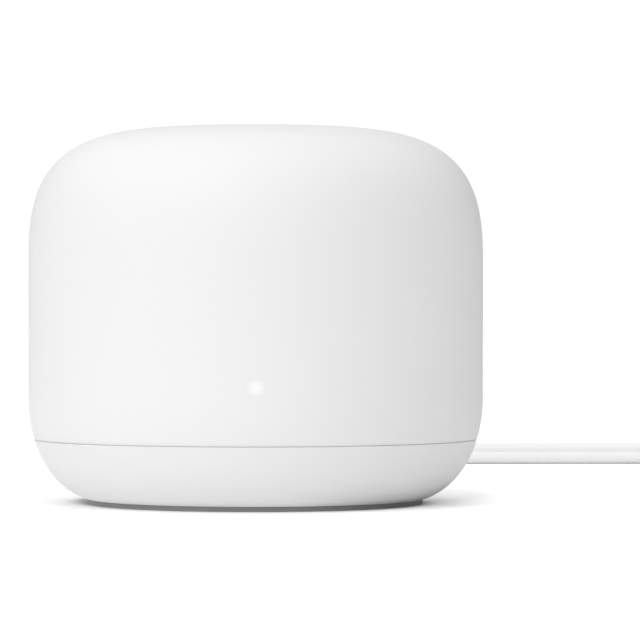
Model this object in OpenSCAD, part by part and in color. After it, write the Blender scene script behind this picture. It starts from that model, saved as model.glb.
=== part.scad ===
// Round tabletop mesh wifi node with its power lead, in millimetres.
// Origin on the table under the body's axis, +Z up, status light towards -Y, ports towards +Y.

/* [Body] */
// Outside diameter of the body
body_d = 110; // [106:1:120]
// Height of the body above the table
body_h = 91.2; // [87:0.2:100]
// Wall thickness of both shells
wall = 2.2; // [1.8:0.1:2.6]
// Height where the side starts to round into the top
shoulder_z = 57.2; // [51:0.2:61]
// Height of the seam between the two shells
seam_z = 15.6; // [15.4:0.1:17]
// Width of the shadow line at the seam
seam_gap = 0.2; // [0.1:0.05:0.5]
// Radial depth of the rounding towards the foot
foot_round_r = 16.6; // [15.6:0.2:17.6]
// Height of the rounding towards the foot
foot_round_h = 24.2; // [22:0.1:26]

/* [Foot] */
// How far the foot pad stands below the base
foot_proud = 1.2; // [1.1:0.1:1.6]
// Thickness of the foot pad
foot_t = 1.8; // [1.7:0.1:2.2]
// How far the foot pad's edge lies inside the body's side
foot_inset = 14.6; // [14:0.2:18]

/* [Status light] */
// Height of the status light
light_z = 29.2; // [28.5:0.1:32]
// Diameter of the light pipe
light_d = 2.6; // [2:0.1:3.4]

/* [Reset button] */
// Diameter of the button's face
button_d = 6; // [5:0.1:8]
// Travel of the button
button_travel = 0.6; // [0.4:0.1:0.8]
// How far the button's face lies above the table
button_recess = 1; // [0.8:0.1:1.4]
// Distance of the button in front of the axis
button_y = 20; // [16:0.5:24]

/* [Ports] */
// Inside width of the port bay
bay_w = 54; // [52:0.5:56]
// Distance of the jack faces behind the axis
bay_y = 32; // [31:0.2:33]
// Width of a network jack
jack_w = 16; // [15.5:0.1:16.5]
// Height of a network jack
jack_h = 12.4; // [12:0.1:13]
// Length of a network jack
jack_l = 18; // [17:0.2:20]
// Width of a network socket
socket_w = 11.9; // [11.7:0.1:12.2]
// Height of a network socket
socket_h = 6.6; // [6.4:0.1:6.8]
// Gap between neighbouring jacks
jack_gap = 2.5; // [2:0.1:3]
// Outside diameter of the power plug's sleeve
sleeve_d = 5.5; // [5:0.1:5.6]

/* [Boards] */
// Diameter of the main board
board_d = 88; // [87.4:0.2:90]
// Thickness of the main board
board_t = 1.6; // [1.2:0.1:2]

/* [Heat sink] */
// Side of the square heat sink
sink_w = 40; // [36:0.5:40.5]
// Height of the heat sink
sink_h = 40; // [30:1:46]
// Thickness of the heat sink's plate
sink_plate_t = 3; // [2.5:0.1:4]
// Number of cooling fins
fin_count = 9; // [5:1:10]
// Thickness of a cooling fin
fin_t = 1.6; // [1.2:0.1:2]

/* [Antennas] */
// Outside diameter of the antenna frame
frame_d = 82; // [81:0.2:83]
// Distance of the antenna frame's top below the body's top
frame_drop = 16; // [14:0.2:18]
// Height of an antenna
antenna_h = 36; // [30:0.5:40]
// Thickness of an antenna
antenna_t = 0.8; // [0.5:0.1:1.2]

/* [Screws] */
// Diameter of the circle of base screws
screw_ring_d = 66; // [65:0.2:67]
// Shank diameter of the base screws
base_screw_d = 2.6; // [2.2:0.1:3]
// Shank diameter of the small screws
small_screw_d = 2.2; // [2:0.1:2.4]

/* [Power lead] */
// Width of the flat twin cord
cord_w = 6.4; // [5.8:0.1:6.8]
// Thickness of the flat twin cord
cord_t = 3.6; // [3.5:0.1:3.8]
// Radius of the coil's innermost turn
coil_turn_r = 23.6; // [23:0.2:25]
// Turns in each layer of the coil
coil_turns = 4; // [3:1:5]
// Layers of the coil
coil_layers = 2; // [1:1:3]

/* [Wall adapter] */
// Width of the adapter
adapter_w = 38; // [34:1:46]
// Length of the adapter without its blades
adapter_l = 44; // [40:1:52]
// Height of the adapter
adapter_h = 26; // [24:1:32]

/* [Fits] */
// Gap between pieces that slide together
slide_fit = 0.2; // [0.1:0.05:0.3]
// Radial gap between a screw's shank and its hole
screw_play = 0.1; // [0.05:0.05:0.2]
// Radial gap around the button
button_play = 0.1; // [0.05:0.01:0.1]

/* [Hidden] */
$fn = 64;

// Small overrun that lets a cut pass its face
over = 1;
// Lap that joins two forms of one piece
lap = 0.4;

// Body outline: exponents of the flat top and angular steps along the two curves
body_r = body_d / 2;
top_flatness = 4.2;
top_fullness = 2.94;
top_step = 3;
foot_step = 6;

// Levels from the table up
foot_r = body_r - foot_inset;
floor_z = foot_proud + wall;
jack_lift = 1;
jack_z = floor_z + jack_lift;
board_z = jack_z + jack_h;
board_top = board_z + board_t;
board_r = board_d / 2;
chip_h = 1.4;
pad_t = 1;
sink_z = board_top + chip_h + pad_t;

// Seam tongue
tongue_t = 1;
tongue_h = 2;

// Port bay
bay_wall = 1;
bay_corner_r = 2.5;
bay_top = seam_z - seam_gap / 2 - bay_wall;
bezel_t = 1.6;
bezel_y = bay_y + 0.3;
bezel_margin = 0.4;
dc_w = 9;
dc_h = 11;
dc_l = 14;
dc_drop = 7.6;
dc_z = board_z - dc_drop;
dc_bore_d = sleeve_d + 0.6;
dc_bore_l = 10;
ports_w = 2 * jack_w + dc_w + 2 * jack_gap;
lan_x = -ports_w / 2 + jack_w / 2;
wan_x = lan_x + jack_w + jack_gap;
dc_x = ports_w / 2 - dc_w / 2;
socket_lift = 2.4;
socket_l = 13;
latch_w = 6.2;
latch_h = 1.8;
contact_count = 8;
contact_pitch = 1.02;
contact_t = 0.5;
contact_l = 9;
contact_setback = 2;

// Screw places and screw heads
screw_angles = [-40, 14, 166, 220];
board_screw_angles = [-110, -70];
board_screw_r = 38;
shell_screw_angles = [45, 135, 225, 315];
shell_screw_r = 24;
sink_screw_at = sink_w / 2 - 2.5;
pillar_d = 8;
boss_d = 6.4;
head_h = 1.6;
base_head_d = base_screw_d + 2.4;
small_head_d = small_screw_d + 2;
head_seat_z = floor_z + 0.8;
base_screw_grip = 7.4;
small_screw_grip = 7;
drive_d = 1.6;
drive_depth = 0.9;

// Antenna frame
frame_r = frame_d / 2;
frame_wall = 2;
frame_plate_t = 2.4;
leg_h = 8.4;
frame_z = board_top + leg_h;
frame_top = body_h - frame_drop;
frame_h = frame_top - frame_z;
frame_bore_r = 29;
frame_top_bore_r = 18;
window_angles = [-10, 40, 90, 140, 190, 247, 293];
window_w = 9;
window_margin = 6;
antenna_angles = [-35, 15, 65, 115, 165, 215];
antenna_arc = 30;
antenna_gap = 0.2;
antenna_z = frame_z + 5;
antenna_slot = 1.2;
lead_d = 1.2;
lead_bend = 2.5;
lead_r = frame_r + antenna_gap + antenna_t + 0.1 + lead_d / 2;
lead_rise = 5;
antenna_socket_w = 3;
antenna_socket_h = 2;
antenna_socket_r = frame_r - 4.4;
antenna_lead_z = board_top + antenna_socket_h / 2;

// Status light behind the front wall
led_board_w = 12;
led_board_h = 12;
led_board_t = 1;
led_pad_w = 3;
led_pad_h = 4;
led_pad_at = 4;
led_board_y = frame_r + 1;
led_w = 3;
led_h = 1.4;
led_depth = 1.2;
light_flange_d = light_d + 3.4;
light_flange_t = 1.2;
light_flange_y = body_r - wall - 0.35;
light_inner_y = led_board_y + led_board_t + led_depth + 0.3;
light_flush = 0.02;
shroud_bore_d = 4;
led_cable_w = 5;
led_cable_t = 0.3;
led_socket_w = 6;
led_socket_l = 3;
led_socket_h = 1.4;

// Reset button and its switch
button_flange_d = button_d + 2.4;
button_flange_h = 1.2;
button_seat_gap = 0.1;
button_stem_d = 4;
collar_wall = 1.2;
collar_h = 4;
switch_w = 6;
switch_h = 3.6;
plunger_d = 3.4;
plunger_h = 2;
plunger_proud = 1;
switch_z = board_z - switch_h;
stem_top = switch_z - plunger_proud;
pad_hole_d = button_d + 2;
grip_groove_w = 1.2;
grip_groove_depth = 0.3;

// Chips on the board: [x, y] centres
processor_w = 14;
processor_at = [0, 8];
memory_size = [8, 10];
memory_h = 0.9;
memory_at = [[-13.5, 8], [13.5, 8]];
can_size = [13, 12];
can_at = [[-8, -9], [8, -9]];
inductor_w = 6;
inductor_h = 3;
inductor_at = [[-25, -4], [-25, -11.5]];
capacitor_d = 6.3;
capacitor_h = 7.6;
capacitor_r = 34;
capacitor_angles = [-19, -5, 186, 200];
transformer_size = [12, 8];
transformer_h = 4.5;
transformer_at = [[-15, 25.5], [3.5, 25.5]];
spacer_d = 4.4;

// Power plug, with its strain relief ending where the cord starts
plug_gap = 0.3;
plug_y = bezel_y + bezel_t + plug_gap;
plug_d = 9.6;
plug_neck_l = 1.5;
relief_d = 8.4;
relief_end_d = 7;
relief_rings = 5;
relief_ring_w = 1.2;
relief_ring_depth = 0.6;
relief_y = 50;
sleeve_bore_d = 2.6;
sleeve_l = 9;
pin_d = 2;

// Cord on its edge along the table: points from the plug's relief to the coil
coil_lift = 0.1;
lay_z = cord_w / 2 + coil_lift;
lead_route = [
    [18.5, 74, 9.2], [18.5, 80, 9.2], [18.5, 87, 8.7], [18.5, 94, 7.8], [18.5, 102, 6.6],
    [18.6, 110, 5.4], [18.7, 118, 4.3], [18.8, 126, 3.6], [19, 135, lay_z], [19.3, 147, lay_z],
    [19.8, 160, lay_z], [20.5, 173, lay_z], [21.8, 185, lay_z], [24.3, 196, lay_z], [28.5, 205.5, lay_z],
    [34.5, 213, lay_z], [42, 219, lay_z], [51, 223.3, lay_z], [60.5, 225, lay_z], [75, 225, lay_z],
    [91, 225, lay_z], [107, 225, lay_z], [123, 225, lay_z], [139, 225, lay_z], [155, 225, lay_z]
];
// Points from the coil to the adapter's relief
tail_route = [
    [186.3, 164.4, lay_z + cord_w], [182.2, 158.6, 10.4], [179.4, 153, 12], [178.1, 148, 13], [178, 143, 13]
];
lead_end = lead_route[len(lead_route) - 1];
tail_end = tail_route[len(tail_route) - 1];
cord_lobe_r = cord_t / 2;
cord_lobe_at = cord_w / 2 - cord_lobe_r;
cord_waist = sqrt(pow(cord_lobe_r, 2) - pow(cord_lobe_at, 2));
coil_pitch = cord_t + 0.1;
coil_out_r = coil_turn_r + coil_turns * coil_pitch;
coil_at = [lead_end[0], lead_end[1] - coil_out_r];
coil_h = coil_layers * cord_w + coil_lift;
tie_angle = -90;
tie_w = 7;
tie_t = 0.8;
tie_gap = 0.5;

// Wall adapter behind the tail's end
adapter_wall = 2;
adapter_corner_r = 4;
adapter_face_t = 2.4;
adapter_relief_l = 17;
adapter_y = tail_end[1] - adapter_relief_l;
blade_w = 1.5;
blade_h = 6.3;
blade_l = 16;
blade_pitch = 12.7;
blade_root = 3;
rail_w = 3;
rail_h = 2.4;
adapter_board_t = 1.4;
adapter_board_end = 3;
adapter_transformer_size = [17, 15, 12];
adapter_capacitor_d = 9;
adapter_capacitor_l = 13;
adapter_part_setback = 7;
corner_steps = 6;

// Profile of the body, moved inwards by inset
function foot_point(inset, t) = [
    body_r - inset - foot_round_r * (1 - sin(t)),
    foot_proud + inset + foot_round_h * (1 - cos(t))
];
function top_point(inset, t) = [
    (body_r - inset) * pow(cos(t), 2 / top_flatness),
    shoulder_z + (body_h - inset - shoulder_z) * pow(sin(t), 2 / top_fullness)
];
module body_outline(inset) {
    polygon(concat(
        [[0, foot_proud + inset]],
        [for (t = [0 : foot_step : 90]) foot_point(inset, t)],
        [for (t = [0 : top_step : 90]) top_point(inset, t)]
    ));
}

// Skin of the body between two insets and two heights
module body_skin(outer, inner, z_low, z_high) {
    rotate_extrude() intersection() {
        difference() {
            body_outline(outer);
            body_outline(inner);
        }
        translate([0, z_low]) square([body_d, z_high - z_low]);
    }
}

// Rectangle with round corners, centred
function corner(w, h, r, sx, sy, from) = [
    for (k = [0 : corner_steps])
        let (a = from + 90 * k / corner_steps)
        [sx * (w / 2 - r) + r * cos(a), sy * (h / 2 - r) + r * sin(a)]
];
function round_rectangle(w, h, r) = concat(
    corner(w, h, r, 1, 1, 0), corner(w, h, r, -1, 1, 90),
    corner(w, h, r, -1, -1, 180), corner(w, h, r, 1, -1, 270)
);

// Round-cornered bar along +Y whose middle starts at the point at
module round_bar(at, w, h, r, l) {
    translate(at) rotate([-90, 0, 0]) linear_extrude(l) polygon(round_rectangle(w, h, r));
}

// Cylinder along +Y that starts at the point at
module rod_y(at, d, l, end_d = 0) {
    translate(at) rotate([-90, 0, 0]) cylinder(d1 = d, d2 = end_d > 0 ? end_d : d, h = l);
}

// Block centred in X and Y on the point at, and standing on its height
module block(at, size) {
    translate([at[0] - size[0] / 2, at[1] - size[1] / 2, at[2]]) cube(size);
}

// Children on a circle
module around(r, angles) {
    for (a = angles) rotate([0, 0, a]) translate([r, 0, 0]) children();
}

// Pan-head screw whose head seats at height 0 and whose shank points up
module screw(d, head_d, l) {
    cylinder(d = d, h = l);
    difference() {
        translate([0, 0, -head_h]) cylinder(d = head_d, h = head_h);
        translate([0, 0, -head_h - over]) cylinder(d = drive_d, h = drive_depth + over, $fn = 6);
    }
}

// The body's pieces
module upper_shell() {
    color("white") difference() {
        union() {
            body_skin(0, wall, seam_z + seam_gap / 2, body_h);
            around(shell_screw_r, shell_screw_angles) translate([0, 0, frame_top])
                cylinder(d = boss_d, h = body_h - wall / 2 - frame_top);
        }
        around(shell_screw_r, shell_screw_angles) translate([0, 0, frame_top - over])
            cylinder(d = small_screw_d + 2 * screw_play, h = small_screw_grip + 2 * over);
        rod_y([0, -body_r - over, light_z], light_d + slide_fit, wall + 2 * over);
    }
}

module base_shell() {
    color("white") difference() {
        union() {
            body_skin(0, wall, foot_proud, seam_z - seam_gap / 2);
            // Tongue that the upper shell slides over
            body_skin(wall + slide_fit, wall + slide_fit + tongue_t, seam_z - tongue_h, seam_z + tongue_h);
            body_skin(wall / 2, wall + slide_fit + tongue_t, seam_z - tongue_h, seam_z - seam_gap / 2);
            around(screw_ring_d / 2, screw_angles) translate([0, 0, floor_z - lap])
                cylinder(d = pillar_d, h = board_z - floor_z + lap);
            around(board_screw_r, board_screw_angles) translate([0, 0, floor_z - lap])
                cylinder(d = boss_d, h = board_z - floor_z + lap);
            translate([0, -button_y, floor_z - lap])
                cylinder(d = button_flange_d + 2 * (slide_fit + collar_wall), h = collar_h + lap);
            port_tunnel();
        }
        translate([0, 0, -over]) cylinder(r = foot_r + slide_fit, h = foot_t + over);
        around(screw_ring_d / 2, screw_angles) {
            translate([0, 0, -over]) cylinder(d = base_head_d + 2 * slide_fit, h = head_seat_z + over);
            cylinder(d = base_screw_d + 2 * screw_play, h = board_z + over);
        }
        around(board_screw_r, board_screw_angles) translate([0, 0, board_z - small_screw_grip - over])
            cylinder(d = small_screw_d + 2 * screw_play, h = small_screw_grip + 2 * over);
        translate([0, -button_y, 0]) {
            cylinder(d = button_d + 2 * button_play, h = floor_z + over);
            translate([0, 0, floor_z]) cylinder(d = button_flange_d + 2 * slide_fit, h = collar_h + over);
        }
        round_bar([0, bay_y - over, (floor_z + bay_top) / 2], bay_w, bay_top - floor_z, bay_corner_r, body_r);
    }
}

// Walls and roof of the port bay, kept inside the base's skin
module port_tunnel() {
    intersection() {
        rotate_extrude() body_outline(wall / 2);
        translate([-bay_w / 2 - bay_wall, bay_y, foot_proud])
            cube([bay_w + 2 * bay_wall, body_r, bay_top + bay_wall - foot_proud]);
    }
}

module foot_pad() {
    color("gray") difference() {
        cylinder(r = foot_r, h = foot_t);
        translate([0, -button_y, -over]) cylinder(d = pad_hole_d, h = foot_t + 2 * over);
        for (share = [0.9, 0.96]) translate([0, 0, -over]) difference() {
            cylinder(r = foot_r * share, h = grip_groove_depth + over);
            translate([0, 0, -over])
                cylinder(r = foot_r * share - grip_groove_w, h = grip_groove_depth + 3 * over);
        }
    }
}

module port_bezel() {
    bay_mid = (floor_z + bay_top) / 2;
    bezel_h = bay_top - floor_z - 2 * slide_fit;
    cut_h = socket_h + latch_h + bezel_margin;
    color("darkgray") difference() {
        round_bar([0, bezel_y, bay_mid], bay_w - 2 * slide_fit, bezel_h, bay_corner_r, bezel_t);
        for (x = [lan_x, wan_x])
            translate([x - socket_w / 2 - bezel_margin, bezel_y - over, jack_z + socket_lift - latch_h
                - bezel_margin / 2])
                cube([socket_w + 2 * bezel_margin, bezel_t + 2 * over, cut_h]);
        rod_y([dc_x, bezel_y - over, dc_z], dc_bore_d + bezel_margin, bezel_t + 2 * over);
    }
}

module base_screws() {
    color("silver") around(screw_ring_d / 2, screw_angles) translate([0, 0, head_seat_z])
        screw(base_screw_d, base_head_d, board_top + base_screw_grip - head_seat_z);
}

module shell_screws() {
    color("silver") around(shell_screw_r, shell_screw_angles) translate([0, 0, frame_top - frame_plate_t])
        screw(small_screw_d, small_head_d, frame_plate_t + small_screw_grip);
}

// Status light
module light_pipe() {
    color("white") {
        rod_y([0, -body_r + light_flush, light_z], light_d, body_r - light_flush - light_inner_y);
        rod_y([0, -light_flange_y, light_z], light_flange_d, light_flange_t);
    }
}

module light_shroud() {
    shroud_y = led_board_y + led_board_t;
    shroud_l = light_flange_y - light_flange_t - shroud_y;
    color("dimgray") difference() {
        rod_y([0, -shroud_y - shroud_l, light_z], light_flange_d, shroud_l);
        rod_y([0, -shroud_y - shroud_l - over, light_z], shroud_bore_d, shroud_l + 2 * over);
    }
}

module led_board() {
    color("seagreen") block(
        [0, -led_board_y - led_board_t / 2, light_z - led_board_h / 2],
        [led_board_w, led_board_t, led_board_h]
    );
}

module status_led() {
    color("ivory") block(
        [0, -led_board_y - led_board_t - led_depth / 2, light_z - led_h / 2],
        [led_w, led_depth, led_h]
    );
}

module led_cable() {
    cable_z = board_top + led_socket_h;
    color("ivory") block(
        [0, -led_board_y - led_board_t / 2, cable_z],
        [led_cable_w, led_cable_t, light_z - led_board_h / 2 - cable_z]
    );
}

module led_socket() {
    color("ivory") block(
        [0, -led_board_y - led_board_t / 2 + led_socket_l / 4, board_top],
        [led_socket_w, led_socket_l, led_socket_h]
    );
}

// Reset button
module reset_button() {
    flange_z = floor_z + button_seat_gap;
    color("lightgray") translate([0, -button_y, 0]) {
        translate([0, 0, button_recess]) cylinder(d = button_d, h = flange_z + lap - button_recess);
        translate([0, 0, flange_z]) cylinder(d = button_flange_d, h = button_flange_h);
        translate([0, 0, flange_z]) cylinder(d = button_stem_d, h = stem_top - flange_z);
    }
}

module switch_plunger() {
    color("black") translate([0, -button_y, stem_top]) cylinder(d = plunger_d, h = plunger_h);
}

module tact_switch() {
    color("dimgray") difference() {
        block([0, -button_y, switch_z], [switch_w, switch_w, switch_h]);
        translate([0, -button_y, switch_z - over])
            cylinder(d = plunger_d + 2 * slide_fit, h = plunger_h - plunger_proud + 2 * button_travel + over);
    }
}

// Main board and what is soldered to it
module main_board() {
    color("seagreen") difference() {
        translate([0, 0, board_z]) cylinder(r = board_r, h = board_t);
        translate([0, 0, board_z - over]) {
            around(screw_ring_d / 2, screw_angles)
                cylinder(d = base_screw_d + 2 * screw_play, h = board_t + 2 * over);
            around(board_screw_r, board_screw_angles)
                cylinder(d = small_screw_d + 2 * screw_play, h = board_t + 2 * over);
            sink_corners() cylinder(d = small_screw_d + 2 * screw_play, h = board_t + 2 * over);
        }
    }
}

module board_screws() {
    color("silver") around(board_screw_r, board_screw_angles) translate([0, 0, board_top]) mirror([0, 0, 1])
        screw(small_screw_d, small_head_d, board_t + small_screw_grip);
}

module network_jack(x) {
    color("dimgray") difference() {
        block([x, bay_y - jack_l / 2, jack_z], [jack_w, jack_l, jack_h]);
        block([x, bay_y - socket_l / 2 + over / 2, jack_z + socket_lift], [socket_w, socket_l + over, socket_h]);
        block(
            [x, bay_y - socket_l / 2 + over / 2, jack_z + socket_lift - latch_h],
            [latch_w, socket_l + over, latch_h + lap]
        );
    }
}

module wan_jack() {
    network_jack(wan_x);
}

module lan_jack() {
    network_jack(lan_x);
}

module jack_contacts() {
    first = -(contact_count - 1) * contact_pitch / 2;
    color("gold") for (x = [lan_x, wan_x], k = [0 : contact_count - 1]) block(
        [x + first + k * contact_pitch, bay_y - contact_setback - contact_l / 2,
            jack_z + socket_lift + socket_h - contact_t],
        [contact_t, contact_l, contact_t]
    );
}

module dc_jack() {
    color("black") difference() {
        block([dc_x, bay_y - dc_l / 2, board_z - dc_h], [dc_w, dc_l, dc_h]);
        rod_y([dc_x, bay_y - dc_bore_l, dc_z], dc_bore_d, dc_bore_l + over);
    }
}

module dc_pin() {
    color("silver") rod_y([dc_x, bay_y - dc_bore_l, dc_z], pin_d, dc_bore_l - over);
}

module processor() {
    color("black") block([processor_at[0], processor_at[1], board_top], [processor_w, processor_w, chip_h]);
}

module memory_chips() {
    color("black") for (p = memory_at)
        block([p[0], p[1], board_top], [memory_size[0], memory_size[1], memory_h]);
}

module radio_cans() {
    color("silver") for (p = can_at) block([p[0], p[1], board_top], [can_size[0], can_size[1], chip_h]);
}

module inductors() {
    color("gray") for (p = inductor_at)
        block([p[0], p[1], board_top], [inductor_w, inductor_w, inductor_h]);
}

module capacitors() {
    color("silver") around(capacitor_r, capacitor_angles) translate([0, 0, board_top])
        cylinder(d = capacitor_d, h = capacitor_h);
}

module line_transformers() {
    color("black") for (p = transformer_at)
        block([p[0], p[1], board_top], [transformer_size[0], transformer_size[1], transformer_h]);
}

// Cooling
module sink_corners() {
    for (x = [-1, 1], y = [-1, 1]) translate([x * sink_screw_at, y * sink_screw_at, 0]) children();
}

module thermal_pads() {
    pad_z = board_top + chip_h;
    color("lightpink") {
        block([processor_at[0], processor_at[1], pad_z], [processor_w, processor_w, pad_t]);
        for (p = can_at) block([p[0], p[1], pad_z], [can_size[0], can_size[1], pad_t]);
    }
}

module heat_sink() {
    fin_pitch = (sink_w - fin_t) / (fin_count - 1);
    fin_z = sink_z + sink_plate_t;
    color("lightgray") difference() {
        union() {
            block([0, 0, sink_z], [sink_w, sink_w, sink_plate_t]);
            for (k = [0 : fin_count - 1]) block(
                [-sink_w / 2 + fin_t / 2 + k * fin_pitch, 0, fin_z - lap],
                [fin_t, sink_w, sink_h - sink_plate_t + lap]
            );
        }
        sink_corners() {
            translate([0, 0, sink_z - over])
                cylinder(d = small_screw_d + 2 * screw_play, h = sink_plate_t + 2 * over);
            translate([0, 0, fin_z]) cylinder(d = small_head_d + 4 * slide_fit, h = sink_h);
        }
    }
}

module sink_spacers() {
    color("gold") sink_corners() translate([0, 0, board_top]) difference() {
        cylinder(d = spacer_d, h = sink_z - board_top);
        translate([0, 0, -over])
            cylinder(d = small_screw_d + 2 * screw_play, h = sink_z - board_top + 2 * over);
    }
}

module sink_screws() {
    color("silver") sink_corners() translate([0, 0, sink_z + sink_plate_t]) mirror([0, 0, 1])
        screw(small_screw_d, small_head_d, sink_z + sink_plate_t - board_z);
}

// Antenna frame, held by the base screws below and holding the upper shell above
module antenna_frame() {
    wall_h = frame_h - 2 * frame_plate_t;
    color("whitesmoke") difference() {
        union() {
            around(screw_ring_d / 2, screw_angles) translate([0, 0, board_top])
                cylinder(d = boss_d, h = leg_h + lap);
            translate([0, 0, frame_z]) cylinder(r = frame_r, h = frame_h);
            for (x = [-led_pad_at, led_pad_at]) block(
                [x, -(led_board_y + frame_r - frame_wall) / 2, light_z + led_board_h / 2 - led_pad_h],
                [led_pad_w, led_board_y - frame_r + frame_wall, led_pad_h]
            );
        }
        translate([0, 0, frame_z - over]) cylinder(r = frame_bore_r, h = frame_plate_t + 2 * over);
        translate([0, 0, frame_z + frame_plate_t]) cylinder(r = frame_r - frame_wall, h = wall_h);
        translate([0, 0, frame_top - frame_plate_t - over])
            cylinder(r = frame_top_bore_r, h = frame_plate_t + 2 * over);
        around(screw_ring_d / 2, screw_angles) translate([0, 0, board_top - over])
            cylinder(d = base_screw_d + 2 * screw_play, h = base_screw_grip + 2 * over);
        around(shell_screw_r, shell_screw_angles) translate([0, 0, frame_top - frame_plate_t - over])
            cylinder(d = small_screw_d + 2 * screw_play, h = frame_plate_t + 2 * over);
        around(frame_r, window_angles) block(
            [0, 0, frame_z + frame_plate_t + window_margin],
            [4 * frame_wall, window_w, wall_h - 2 * window_margin]
        );
    }
}

module antennas() {
    inner = frame_r + antenna_gap;
    color("orange") for (a = antenna_angles) rotate([0, 0, a]) difference() {
        rotate([0, 0, -antenna_arc / 2]) rotate_extrude(angle = antenna_arc)
            translate([inner, antenna_z]) square([antenna_t, antenna_h]);
        // Slots that shape the radiating arms
        for (side = [-1, 1]) translate([inner, side * antenna_arc / 8, 0]) block(
            [0, 0, antenna_z + antenna_h / 4],
            [4 * antenna_t, antenna_slot, antenna_h]
        );
    }
}

module antenna_leads() {
    color("black") around(0, antenna_angles) {
        translate([lead_r, 0, antenna_lead_z + lead_bend])
            cylinder(d = lead_d, h = antenna_z + lead_rise - antenna_lead_z - lead_bend);
        translate([lead_r - lead_bend, 0, antenna_lead_z + lead_bend]) rotate([90, 0, 0])
            rotate([0, 0, -90]) rotate_extrude(angle = 90) translate([lead_bend, 0]) circle(d = lead_d);
        translate([antenna_socket_r + antenna_socket_w, 0, antenna_lead_z]) rotate([0, 90, 0])
            cylinder(d = lead_d, h = lead_r - lead_bend - antenna_socket_r - antenna_socket_w);
    }
}

module antenna_sockets() {
    color("gold") around(antenna_socket_r, antenna_angles)
        block([antenna_socket_w / 2, 0, board_top], [antenna_socket_w, antenna_socket_w, antenna_socket_h]);
}

// Power plug
module dc_barrel() {
    color("silver") difference() {
        rod_y([dc_x, plug_y - sleeve_l, dc_z], sleeve_d, sleeve_l);
        rod_y([dc_x, plug_y - sleeve_l - over, dc_z], sleeve_bore_d, sleeve_l + 2 * over);
    }
}

module dc_plug() {
    color("white") {
        rod_y([dc_x, plug_y, dc_z], plug_d - plug_neck_l, plug_neck_l, plug_d);
        rod_y([dc_x, plug_y + plug_neck_l, dc_z], plug_d, relief_y - plug_y - 2 * plug_neck_l);
        rod_y([dc_x, relief_y - plug_neck_l, dc_z], plug_d, plug_neck_l, relief_d);
    }
}

// Tapered strain relief with rings, from the point at towards +Y
module strain_relief(at, l) {
    pitch = l / (relief_rings + 1);
    color("white") difference() {
        rod_y(at, relief_d, l, relief_end_d);
        for (k = [1 : relief_rings]) translate([0, k * pitch - relief_ring_w / 2, 0]) difference() {
            rod_y(at, relief_d + over, relief_ring_w);
            translate([0, -over, 0])
                rod_y(at, relief_end_d - 2 * relief_ring_depth, relief_ring_w + 2 * over);
        }
    }
}

module dc_relief() {
    strain_relief([dc_x, relief_y, dc_z], lead_route[0][1] - relief_y);
}

// Flat twin cord: two lobes joined at a waist, swept on its edge
cord_section = concat(
    [for (a = [0 : 45 : 180]) [cord_lobe_r * cos(a), cord_lobe_at + cord_lobe_r * sin(a)]],
    [[-cord_waist, 0]],
    [for (a = [180 : 45 : 360]) [cord_lobe_r * cos(a), -cord_lobe_at + cord_lobe_r * sin(a)]],
    [[cord_waist, 0]]
);
function unit(v) = v / norm(v);
function heading(route, i) = unit(route[min(i + 1, len(route) - 1)] - route[max(i - 1, 0)]);
function ring(route, i) =
    let (ahead = heading(route, i))
    let (side = unit(cross(ahead, [0, 0, 1])))
    let (up = cross(side, ahead))
    [for (q = cord_section) route[i] + side * q[0] + up * q[1]];

module cord(route) {
    sides = len(cord_section);
    last = len(route) - 1;
    polyhedron(
        points = [for (i = [0 : last]) each ring(route, i)],
        faces = concat(
            [[for (k = [sides - 1 : -1 : 0]) k]],
            [for (i = [0 : last - 1], k = [0 : sides - 1])
                let (next = (k + 1) % sides)
                [i * sides + k, i * sides + next, (i + 1) * sides + next, (i + 1) * sides + k]],
            [[for (k = [0 : sides - 1]) last * sides + k]]
        )
    );
}

module cord_lead() {
    color("white") cord(lead_route);
}

module cord_tail() {
    color("white") cord(tail_route);
}

// The coil, with room under it for the tie
module cord_coil() {
    inner = coil_turn_r - cord_t / 2;
    color("white") difference() {
        translate(coil_at) rotate_extrude() translate([inner, 0])
            square([coil_out_r + cord_t / 2 - inner, coil_h]);
        tie_place() translate([inner - over, -tie_w / 2 - slide_fit, -over])
            cube([coil_out_r + cord_t, tie_w + 2 * slide_fit, tie_t + slide_fit + over]);
    }
}

module tie_place() {
    translate(coil_at) rotate([0, 0, tie_angle]) children();
}

module cord_tie() {
    inner = coil_turn_r - cord_t / 2 - tie_gap;
    reach = coil_out_r + cord_t / 2 + tie_gap - inner;
    top = coil_h + slide_fit;
    color("gray") tie_place() difference() {
        translate([inner - tie_t, -tie_w / 2, 0]) cube([reach + 2 * tie_t, tie_w, top + tie_t]);
        translate([inner, -tie_w / 2 - over, tie_t]) cube([reach, tie_w + 2 * over, top - tie_t]);
    }
}

// Wall adapter on its side, cord end towards +Y and blades towards -Y
adapter_mid = [tail_end[0], adapter_y - adapter_l, adapter_h / 2];

module adapter_relief() {
    strain_relief([tail_end[0], adapter_y, tail_end[2]], adapter_relief_l);
}

module adapter_case() {
    inner_w = adapter_w - 2 * adapter_wall;
    inner_h = adapter_h - 2 * adapter_wall;
    color("white") {
        difference() {
            round_bar(adapter_mid + [0, adapter_face_t, 0], adapter_w, adapter_h, adapter_corner_r,
                adapter_l - adapter_face_t);
            round_bar(adapter_mid + [0, adapter_face_t - over, 0], inner_w, inner_h,
                adapter_corner_r - adapter_wall, adapter_l - adapter_face_t - adapter_wall + over);
        }
        // Rails that carry the adapter's board
        for (side = [-1, 1]) block(
            [adapter_mid[0] + side * (inner_w - rail_w) / 2, adapter_mid[1] + adapter_l / 2, adapter_wall - lap],
            [rail_w + 2 * lap, adapter_l - 2 * adapter_wall - adapter_face_t, rail_h + lap]
        );
    }
}

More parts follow.
